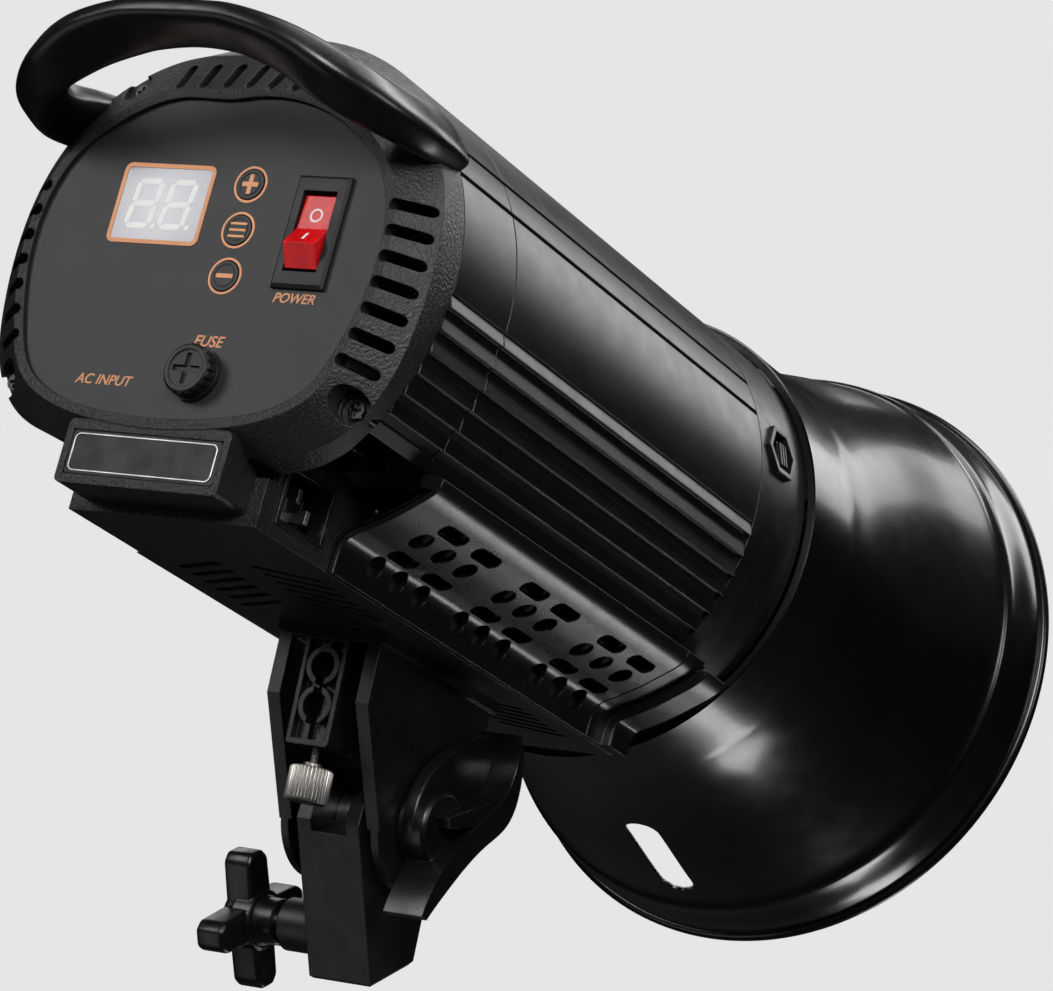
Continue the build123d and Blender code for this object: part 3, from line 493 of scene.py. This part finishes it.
# ---------- rocker marks ----------
def on_slope(points, p0, p1, lift):
    """(x, s) points on the rocker's face that runs from p0 to p1 in (y, z); s is the distance from p0."""
    length = math.hypot(p1[0] - p0[0], p1[1] - p0[1])
    dy, dz = (p1[0] - p0[0]) / length, (p1[1] - p0[1]) / length
    ny, nz = dz, -dy
    return [(x, p0[0] + dy * s + ny * lift, p0[1] + dz * s + nz * lift) for x, s in points]


def rocker_marks():
    """The white O on the pressed end and I on the raised end."""
    top, ridge, tip = (-0.6, 18.0), (-1.2, 6.8), (-6.2, 0.4)
    under, over = -0.05, 0.12
    corners = ((2.3, under), (2.3, over), (1.7, over), (1.7, under))
    rows = [on_slope(circle(ROCKER_X, 6.6, r, 36), top, ridge, lift) for r, lift in corners]
    piece("rocker_mark_off", *grid(rows, close_u=True, close_v=True), "rocker", "panel_print", "white_print")
    bar = round_rect(ROCKER_X, 4.2, 0.8, 3.4, 0.2)
    low, high = on_slope(bar, ridge, tip, under), on_slope(bar, ridge, tip, over)
    piece("rocker_mark_on", *grid([low, high], close_u=True, caps=True), "rocker", "panel_print",
          "white_print")


rocker_marks()

# ---------- carry handle ----------
# Right half of the strap, from its middle to where it meets the collar: centre, direction of its width,
# width and thickness.
HANDLE_END_Y = 21.8
HANDLE = [
    ((0, -39.5, 57.0), (0, -1, 0.08), 23, 7.4),
    ((12, -39.4, 56.5), (0.01, -0.995, 0.12), 23, 7.4),
    ((22, -39.0, 55.2), (0.04, -0.98, 0.20), 22.5, 7.8),
    ((38, -37.2, 50.8), (0.16, -0.93, 0.33), 20.5, 8.8),
    ((53, -31.5, 44.8), (0.45, -0.76, 0.47), 17, 11.5),
    ((64.0, -19.5, 41.2), (0.66, -0.42, 0.62), 14, 15.0),
    ((68.3, -5, 41.2), (0.74, -0.14, 0.66), 12, 18.0),
    ((66.6, 9, 43.6), (0.74, 0.05, 0.67), 11, 20.0),
    ((63.6, 22.2, 45.6), (0.75, 0.10, 0.66), 9, 21.0),
]


def spline(points, steps):
    """Catmull-Rom curve through points, with the ends repeated."""
    pts = [points[0]] + list(points) + [points[-1]]
    out = []
    for i in range(1, len(pts) - 2):
        for k in range(steps):
            t = k / steps
            out.append([0.5 * (2 * b + (c - a) * t + (2 * a - 5 * b + 4 * c - d) * t * t
                               + (3 * b - a - 3 * c + d) * t ** 3) for a, b, c, d in zip(*pts[i - 1:i + 3])])
    out.append(list(points[-1]))
    return out


def handle_strap():
    """Strap with a rounded section, swept through the stations and mirrored to the left."""
    right = [[*c, *w, width, thick] for c, w, width, thick in HANDLE]
    left = [[-s[0], s[1], s[2], -s[3], s[4], s[5], s[6], s[7]] for s in right[:0:-1]]
    stations = spline(left + right, 7)
    rows = []
    for i, s in enumerate(stations):
        here = Vector(s[:3])
        ahead = Vector(stations[min(i + 1, len(stations) - 1)][:3])
        behind = Vector(stations[max(i - 1, 0)][:3])
        run = (ahead - behind).normalized()
        wide = Vector(s[3:6])
        wide = (wide - run * wide.dot(run)).normalized()
        out = wide.cross(run).normalized()
        row = []
        for k in range(40):
            a = 2 * math.pi * k / 40
            c, sn = math.cos(a), math.sin(a)
            u = math.copysign(abs(c) ** 0.42, c) * s[6] / 2
            v = math.copysign(abs(sn) ** 0.62, sn) * s[7] / 2
            x, y, z = here + wide * u + out * v
            row.append((x, min(y, HANDLE_END_Y), z))
        rows.append(row)
    piece("carry_handle_strap", *grid(rows, close_u=True, caps=True), "head", "handle_plastic", "handle",
          stands_for=("carry_handle",), smooth=60)


handle_strap()


# ---------- barrel and collar shells ----------
RIBS, RIB_START, RIB_PITCH = 6, -2.1, 5.35
RIB_FACE, RIB_FLOOR = 1.0, 0.9
GROOVES, GROOVE_DEPTH = (27.0, 36.0), 1.3
FLOOR_EDGE = -37.9


def rib_line():
    """(angle, radius) points down the ribbed side: a fine line, then faces that stand out, then undercuts."""
    line = [(-1.55, BARREL_R), (-1.6, BARREL_R - 0.6), (-2.0, BARREL_R - 0.6)]
    for i in range(RIBS):
        a = RIB_START - RIB_PITCH * i
        line += [(a, BARREL_R - 0.5), (a - 2.75, BARREL_R + RIB_FACE), (a - 2.87, BARREL_R + 0.85),
                 (a - 3.0, BARREL_R - RIB_FLOOR), (a - 5.0, BARREL_R - RIB_FLOOR), (a - 5.1, BARREL_R - 0.5)]
    return line[:-1] + [(-34.3, BARREL_R - RIB_FLOOR), (-34.4, BARREL_R - 0.1)]


def groove_line(start):
    """(angle, radius) points across a square groove with broken edges."""
    edge, deep = BARREL_R - 0.25 * GROOVE_DEPTH, BARREL_R - GROOVE_DEPTH
    return [(start - 0.1, BARREL_R), (start, edge), (start + 0.12, deep), (start + 1.1, deep),
            (start + 1.22, edge), (start + 1.32, BARREL_R)]


def shell_outline():
    """(angle, radius) points of the outer section, from the right floor edge over the top to the left one."""
    ribs = rib_line()
    half = [(FLOOR_EDGE, BARREL_R), (ribs[-1][0] - 0.1, BARREL_R)] + ribs[::-1]
    a = 0.0
    while a < 88:
        half.append((a, BARREL_R))
        a += 1.5
        if a in GROOVES:
            half += groove_line(a)
            a += 3.0
    return half + [(90, BARREL_R)] + [(180 - a, r) for a, r in half[::-1]]


def collar_floor(y0, y1):
    """The collar's flat floor, with its window."""
    margin = 0.2 * (y1 - y0)
    outer = [(-50, y0), (50, y0), (50, y1), (-50, y1)]
    window = [(-33, y0 + margin), (33, y0 + margin), (33, y1 - margin), (-33, y1 - margin)]
    verts, faces = ring_prism(outer, window, -50.9, -49.0)
    return [(x, y, z) for x, z, y in verts], faces


def shell(y0, y1):
    """Open-bottomed shell with its ribs and grooves."""
    outline = shell_outline()
    wall, chamfer = 3, 0.2

    def at(a, r, y):
        return r * math.cos(math.radians(a)), y, r * math.sin(math.radians(a))

    rows = []
    for y, inset in ((y0, chamfer), (y0 + chamfer, 0), (y1 - chamfer, 0), (y1, chamfer)):
        outer = [at(a, r - inset, y) for a, r in outline]
        rows.append(outer + [at(a, BARREL_R - wall, y) for a, r in outline[::-1]])
    return grid(rows, close_u=True, caps=True)


piece("collar_shell", *merge(shell(*COLLAR_Y), collar_floor(*COLLAR_Y)), "head", "shell_plastic", "satin",
      stands_for=("rear_collar",), smooth=14)
piece("barrel_shell", *shell(*BARREL_Y), "head", "shell_plastic", "satin", stands_for=("main_barrel",),
      smooth=14)


# ---------- reflector ----------
SHEET_LINE = [(83.4, 263.3), (83.4, 290.0), (84.0, 298.0), (85.2, 310.0), (87.3, 322.0), (90.1, 334.0),
              (93.6, 346.0), (97.2, 358.0), (100.4, 370.0), (103.0, 379.6), (104.6, 381.6), (105.3, 383.6),
              (105.5, 386.0), (106.2, 390.0), (107.5, 396.0), (108.0, 402.2)]
ROLL_R = 2.1
SLOT_X, SLOT_Y, SLOT_WIDTH, SLOT_LENGTH = 3.5, 350, 13.5, 44


def sheet_profile(outer, inner, roll):
    """Closed (radius, along) loop between two offsets from the sheet's outer line; roll adds the rim."""
    line = spline(SHEET_LINE, 3)
    loop = [(r - outer, y) for r, y in line]
    if roll:
        for i in range(15):
            a = math.radians(195 - 20 * i)
            loop.append((RIM_R - ROLL_R + ROLL_R * math.sin(a), RIM_Y - ROLL_R + ROLL_R * math.cos(a)))
    return loop + [(r - inner, y) for r, y in line[::-1]]


def carve(obj, cutter_mesh):
    """Takes the cutter's volume out of the piece."""
    tool = bpy.data.objects.new("cutter", cutter_mesh)
    bpy.context.scene.collection.objects.link(tool)
    cut = obj.modifiers.new("cut", "BOOLEAN")
    cut.operation, cut.solver, cut.object = "DIFFERENCE", "EXACT", tool
    bpy.context.view_layer.update()
    done = bpy.data.meshes.new_from_object(obj.evaluated_get(bpy.context.evaluated_depsgraph_get()))
    obj.modifiers.clear()
    obj.data = done
    bpy.data.objects.remove(tool)


def raw(name, verts, faces, place=HEAD):
    """A welded mesh with its faces turned outwards."""
    mesh = bpy.data.meshes.new(name)
    mesh.from_pydata([place @ Vector(v) for v in verts], [], faces)
    bm = bmesh.new()
    bm.from_mesh(mesh)
    bmesh.ops.remove_doubles(bm, verts=bm.verts, dist=1e-7)
    bmesh.ops.recalc_face_normals(bm, faces=bm.faces)
    bm.to_mesh(mesh)
    bm.free()
    return mesh


def slotted(name, profile, finish, stands_for=()):
    """A turned skin with the umbrella slot through its lower side."""
    obj = bpy.data.objects.new(name, raw(name, *lathe(profile, steps=180)))
    bpy.context.scene.collection.objects.link(obj)
    hole = round_rect(SLOT_X, SLOT_Y, SLOT_WIDTH, SLOT_LENGTH, 6.7, 10)
    carve(obj, raw("slot_cutter", *between([(x, y, -120) for x, y in hole], [(x, y, -80) for x, y in hole])))
    finish_piece(obj, "reflector", finish, stands_for, 35)


slotted("reflector_sheet", sheet_profile(0, 0.8, True), "bowl", ("reflector_bowl",))
# The silver starts nine points further in than the sheet does.
slotted("reflector_lining", sheet_profile(0.83, 1.3, False)[9:-9], "bowl_inside")


# ---------- side covers ----------
COVER_LINE = [(69.6, -50.4), (69.2, -53.0), (67.8, -55.3), (65.4, -57.4), (62.2, -59.6), (58.4, -62.2),
              (54.4, -64.8), (50.2, -67.2), (46.4, -69.2), (43.0, -70.8), (40.8, -72.2), (39.5, -74.0),
              (38.7, -76.2), (38.3, -79.0), (38.2, -84.1)]
COVER_HOOK = [(61.5, -53.5), (61.5, -49.3), (67.8, -49.4)]
COVER_WALL = 1.7
COVER_Y = (58.0, 224.85)
CAP_Y = (225.15, 237.0)
FLANGE_Y = (235.6, 248.9)
GROUPS, GROUP_PITCH, GROUP_START = 3, 53.2, 78.0


def offset_line(points, d):
    """Moves an open line sideways by d."""
    out = []
    for i, (x, z) in enumerate(points):
        x0, z0 = points[max(i - 1, 0)]
        x1, z1 = points[min(i + 1, len(points) - 1)]
        length = math.hypot(x1 - x0, z1 - z0)
        out.append((x + (z1 - z0) / length * d, z - (x1 - x0) / length * d))
    return out


def cover_cutters(side):
    """Slots in pairs and round holes in threes, in three groups along the cover."""
    parts = []
    for group in range(GROUPS):
        start = GROUP_START + GROUP_PITCH * group
        spots = []
        for y in (start + 6, start + 27):
            spots += [(60.7, y, -60.6, 40, 15.0, 5.6), (44.6, y, -70.0, 26, 15.0, 5.6)]
        for y in (start, start + 14, start + 28):
            spots += [(53.6, y, -65.4, 34, 8.4, 8.4), (38.9, y, -75.0, 62, 8.4, 8.4)]
        for x, y, z, lean, long, wide in spots:
            turn = Matrix.Translation((x, y, z)) @ Matrix.Rotation(math.radians(-lean), 4, "Y")
            outline = round_rect(0, 0, wide, long, wide / 2 - 0.01, 6)
            levels = [[turn @ Vector((u, w, t)) for u, w in outline] for t in (-3.2, 3.2)]
            parts.append(between(*[[(side * v.x, v.y, v.z) for v in level] for level in levels]))
    return merge(*parts)


def cover_section(line):
    """Closed section of the cover: its outer line, the inner one, and the hook under the shell."""
    return line + offset_line(line, COVER_WALL)[8:][::-1] + COVER_HOOK


def extruded(section, side, levels):
    """Runs an (x, z) section through (y, inset) levels; side mirrors it."""
    rows = [[(side * (x - d), y, z + d * 0.4) for x, z in section] for y, d in levels]
    return grid(rows, close_u=True, caps=True)


def side_cover(name, side):
    """Perforated cover, and a dark sheet behind its holes: painted shade for the head's inside."""
    outer = spline(COVER_LINE, 4)
    chamfer, steps = 0.25, 56
    start, end = COVER_Y
    step = (end - start - 2 * chamfer) / steps
    levels = [(start + chamfer + step * i, 0) for i in range(steps + 1)]
    made = extruded(cover_section(outer), side, [(start, chamfer)] + levels + [(end, chamfer)])
    obj = bpy.data.objects.new(name + "_moulding", raw(name, *made))
    bpy.context.scene.collection.objects.link(obj)
    carve(obj, raw("cover_cutter", *cover_cutters(side)))
    finish_piece(obj, "head", "cover", (name,), 24)
    # Painted shade: a dark sheet just inside the cover, so the holes look into shade.
    near, far = offset_line(outer, 4.4)[10:42], offset_line(outer, 4.8)[10:42]
    screen = extruded(near + far[::-1], side, ((start + 3, 0), (end - 2.85, 0)))
    piece(name + "_screen", *screen, "head", "satin_black_shell", "screen")


def front_cap(name, side):
    """Short run of the cover's section, and the flange that stands out from it."""
    outer = spline(COVER_LINE, 4)
    lip = offset_line(outer, -3.6)[4:-3]
    bottom = COVER_LINE[-1][1]
    flange = lip + [(lip[-1][0], bottom), (36.4, bottom)] + offset_line(outer, COVER_WALL)[8:-4][::-1]
    start, end = CAP_Y
    back, front = FLANGE_Y
    made = merge(extruded(cover_section(outer), side, ((start, 0.25), (start + 0.25, 0), (end, 0))),
                 extruded(flange, side, ((back, 0.5), (back + 0.5, 0), (front - 0.5, 0), (front, 0.5))))
    piece(name + "_moulding", *made, "head", "shell_plastic", "cover", stands_for=(name,), smooth=24)


for make, kind in ((side_cover, "side_cover"), (front_cap, "front_cap")):
    make(kind + "_right", 1)
    make(kind + "_left", -1)


# ---------- knobs and clamp screw ----------
def bevelled(verts, faces, width, segments, angle):
    """Rounds the edges of a block that are sharper than angle."""
    mesh = raw("block", verts, faces, Matrix.Identity(4))
    bm = bmesh.new()
    bm.from_mesh(mesh)
    bm.normal_update()
    sharp = [e for e in bm.edges if len(e.link_faces) == 2 and e.calc_face_angle(0) > math.radians(angle)]
    bmesh.ops.bevel(bm, geom=sharp, offset=width, segments=segments, profile=0.5, affect="EDGES",
                    clamp_overlap=True)
    out = ([tuple(v.co) for v in bm.verts], [tuple(v.index for v in f.verts) for f in bm.faces])
    bm.free()
    bpy.data.meshes.remove(mesh)
    return out


def plate(outline, x0, x1):
    """Solid between two x levels from a (y, z) outline."""
    return between([(x0, y, z) for y, z in outline], [(x1, y, z) for y, z in outline])


def star_knob():
    """Four arms with a turned hub, face and bore."""
    arm_w, tip, root, corner = 5.5, 23.9, 5.9, 2.4
    axis_z = 13
    outline = []
    for i in range(4):
        c, sn = math.cos(math.radians(90 * i)), math.sin(math.radians(90 * i))
        for u, w in ((root, -root), (tip - 3, -arm_w), (tip, corner - arm_w), (tip, arm_w - corner),
                     (tip - 3, arm_w)):
            outline.append((u * c - w * sn, axis_z + u * sn + w * c))
    cross = bevelled(*plate(outline, -49.5, -38.5), 1.5, 4, 20)
    hub = [(3.3, -45), (10.2, -45), (10.2, -38.2), (9.6, -37.6), (8.6, -37.4), (8.4, -36.2), (8.0, -35.8),
           (7.9, -31.0), (7.2, -30.3), (3.3, -30.3)]
    face = [(3.3, -49.9), (8.0, -49.9), (8.8, -49.4), (9.4, -48.4), (9.6, -47.0), (3.3, -47.0)]
    bore = [(3.1, -49.9), (3.1, -50.3), (6.6, -50.3), (7.1, -49.9), (7.2, -49.0), (3.1, -49.0)]
    parts = [cross] + [lathe(p, axis="X", centre=(0, 0, axis_z), steps=72) for p in (hub, face, bore)]
    piece("star_knob_body", *merge(*parts), "socket_knob", "knob_plastic", "knob", place=STAND,
          stands_for=("star_knob",), smooth=32)


star_knob()


CLAMP = HEAD @ Matrix.Translation((0, 119.5, -97.8)) @ Matrix.Rotation(math.radians(5.2), 4, "X")
SCREW_Y = 6.5


def around_screw(radii, z):
    """One ring of points about the screw's axis."""
    n = len(radii)
    return [(r * math.cos(2 * math.pi * i / n), SCREW_Y + r * math.sin(2 * math.pi * i / n), z)
            for i, r in enumerate(radii)]


def knurled_head():
    groove = (0, 0.15, 0.85, 1.0, 0.85, 0.15)
    rows = []
    for z, r, cut in ((-44.35, 5.9, 0.0), (-44.3, 6.6, 0.1), (-43.6, 7.3, 0.55), (-33.6, 7.3, 0.55),
                      (-32.9, 6.6, 0.1), (-32.85, 5.9, 0.0)):
        rows.append(around_screw([r - cut * k for k in groove * 36], z))
    return grid(rows, close_u=True, caps=True)


def threaded_rod(z0, z1):
    """Rod with a helical thread."""
    pitch, steps_per_turn, around = 0.8, 8, 18
    rows = []
    for k in range(int((z1 - z0) / pitch * steps_per_turn) + 1):
        phases = [(k / steps_per_turn + i / around) % 1 for i in range(around)]
        radii = [1.48 - 0.34 * (1 - abs(2 * phase - 1)) ** 0.8 for phase in phases]
        rows.append(around_screw(radii, z0 + k * pitch / steps_per_turn))
    return grid(rows, close_u=True, caps=True)


def umbrella_screw():
    """Knurled head, neck and threaded rod."""
    neck = lathe([(0.4, -33.0), (3.2, -33.0), (3.2, -31.6), (2.7, -31.2), (0.4, -31.2)], axis="Z",
                 centre=(0, SCREW_Y, 0), steps=40)
    piece("umbrella_screw_turned", *merge(knurled_head(), neck, threaded_rod(-34.4, -5.4)), "umbrella_lock",
          "nickel", "nickel", place=CLAMP, stands_for=("umbrella_screw",), smooth=30)


umbrella_screw()


# ---------- web between the tilt lever's hub and its wing ----------
def lever_web():
    """Flat web that carries the wing's curve back to the hub."""
    near_x, far_x = 22.2, 27.0
    outline = [(48.2, 71.0), (46.9, 62.4), (36.6, 52.4), (21.3, 48.2), (6.0, 44.0), (-1.0, 47.0),
               (-2.0, 55.0), (3.0, 63.5), (12.0, 69.5), (24.0, 72.6), (38.0, 73.4)]
    web = bevelled(*plate(spline(outline, 3), near_x, far_x), 0.8, 3, 50)
    piece("tilt_lever_web", *web, "lever", "knob_plastic", "knob", place=STAND, smooth=30)


lever_web()


# ---------- badge border ----------
def badge_border():
    """Thin frame around the blank badge."""
    outer, inner = round_rect(0, BADGE_Z, 54.6, 12.4, 2.2), round_rect(0, BADGE_Z, 53.8, 11.6, 1.8)
    piece("badge_border", *ring_prism(outer, inner, -1.2, -0.85), "head", "nickel", "steel")


badge_border()


# ---------- scene: camera, light and floor ----------
def camera():
    """From behind, to the right and a little above, in the head's frame."""
    right, down = Vector((0.8416, 0.4804, 0.2466)), Vector((0.078, 0.3437, -0.9358))
    ahead = Vector((-0.5344, 0.8069, 0.2518))
    eye = right * 99.4 + down * 77.5 - ahead * 1451.0
    turn = Matrix((right, -down, -ahead)).transposed().to_4x4()
    data = bpy.data.cameras.new("camera")
    data.sensor_width = 36
    data.lens = 160.376
    data.clip_start, data.clip_end = 0.1, 100
    cam = bpy.data.objects.new("camera", data)
    bpy.context.scene.collection.objects.link(cam)
    cam.matrix_world = HEAD_POSE @ Matrix.Translation(eye * 0.001) @ turn
    bpy.context.scene.camera = cam


camera()

# Name: place in metres, width, height, watts.
LIGHTS = {
    "front_right_light": ((0.46, 2.4, 0.36), 0.84, 0.9, 8.4),
    "front_high_light": ((0.6, 2.05, 1.3), 0.9, 0.7, 15),
    "front_top_light": ((0.35, 1.25, 1.95), 0.9, 0.9, 14),
    "front_wall_light": ((-1.35, 2.2, 0.8), 1.6, 0.9, 7),
    "upper_left_light": ((-1.3, -1.2, 1.75), 0.9, 0.9, 14),
    "rear_right_light": ((0.95, -1.2, 1.75), 0.8, 0.8, 34),
    "rear_low_light": ((-1.3, -2.0, -0.45), 1.4, 1.4, 4),
    "right_light": ((1.9, 0.0, 1.0), 0.7, 0.7, 9),
    "top_light": ((0.2, 0.5, 2.4), 1.0, 1.0, 9),
    "low_front_light": ((0.345, 0.58, -1.24), 0.34, 0.34, 2.6),
}
LIT_POINT = Vector((0, 0.10, 0.16))


def softbox(name, position, width, height, watts):
    data = bpy.data.lights.new(name, "AREA")
    data.shape = "RECTANGLE"
    data.size, data.size_y = width, height
    data.energy = watts
    lamp = bpy.data.objects.new(name, data)
    lamp.location = position
    lamp.rotation_mode = "QUATERNION"
    lamp.rotation_quaternion = (LIT_POINT - Vector(position)).to_track_quat("-Z", "Y")
    lamp.visible_camera = False
    bpy.context.scene.collection.objects.link(lamp)


for name, settings in LIGHTS.items():
    softbox(name, *settings)


def world():
    """Pale backdrop for the camera, and only a faint fill on the object."""
    scene = bpy.context.scene
    scene.world = bpy.data.worlds.new("studio")
    scene.world.use_nodes = True
    tree = scene.world.node_tree
    back = tree.nodes["Background"]
    ray = tree.nodes.new("ShaderNodeLightPath")
    mix = tree.nodes.new("ShaderNodeMapRange")
    mix.inputs["To Min"].default_value = 0.03
    mix.inputs["To Max"].default_value = 0.80
    tree.links.new(ray.outputs["Is Camera Ray"], mix.inputs["Value"])
    tree.links.new(mix.outputs["Result"], back.inputs["Strength"])
    back.inputs["Color"].default_value = (1, 1, 1, 1)


world()


def floor():
    """Plain pale floor, well below the light, that reflects little."""
    size, z = 30, -1.8
    mesh = bpy.data.meshes.new("floor")
    corners = [(-size, -size, z), (size, -size, z), (size, size, z), (-size, size, z)]
    mesh.from_pydata(corners, [], [(0, 1, 2, 3)])
    obj = bpy.data.objects.new("floor", mesh)
    bpy.context.scene.collection.objects.link(obj)
    mat = bpy.data.materials.new("pale_floor")
    mat.use_nodes = True
    tree = mat.node_tree
    bsdf = tree.nodes["Principled BSDF"]
    bsdf.inputs["Base Color"].default_value = (0.08, 0.08, 0.08, 1)
    bsdf.inputs["Roughness"].default_value = 0.9
    bsdf.inputs["Specular IOR Level"].default_value = 0.0
    pale = tree.nodes.new("ShaderNodeEmission")
    pale.inputs["Color"].default_value = (1, 1, 1, 1)
    pale.inputs["Strength"].default_value = 0.79
    ray = tree.nodes.new("ShaderNodeLightPath")
    mix = tree.nodes.new("ShaderNodeMixShader")
    tree.links.new(ray.outputs["Is Camera Ray"], mix.inputs["Fac"])
    tree.links.new(bsdf.outputs["BSDF"], mix.inputs[1])
    tree.links.new(pale.outputs["Emission"], mix.inputs[2])
    tree.links.new(mix.outputs["Shader"], tree.nodes["Material Output"].inputs["Surface"])
    mesh.materials.append(mat)


floor()
bpy.context.scene.view_settings.view_transform = "Standard"
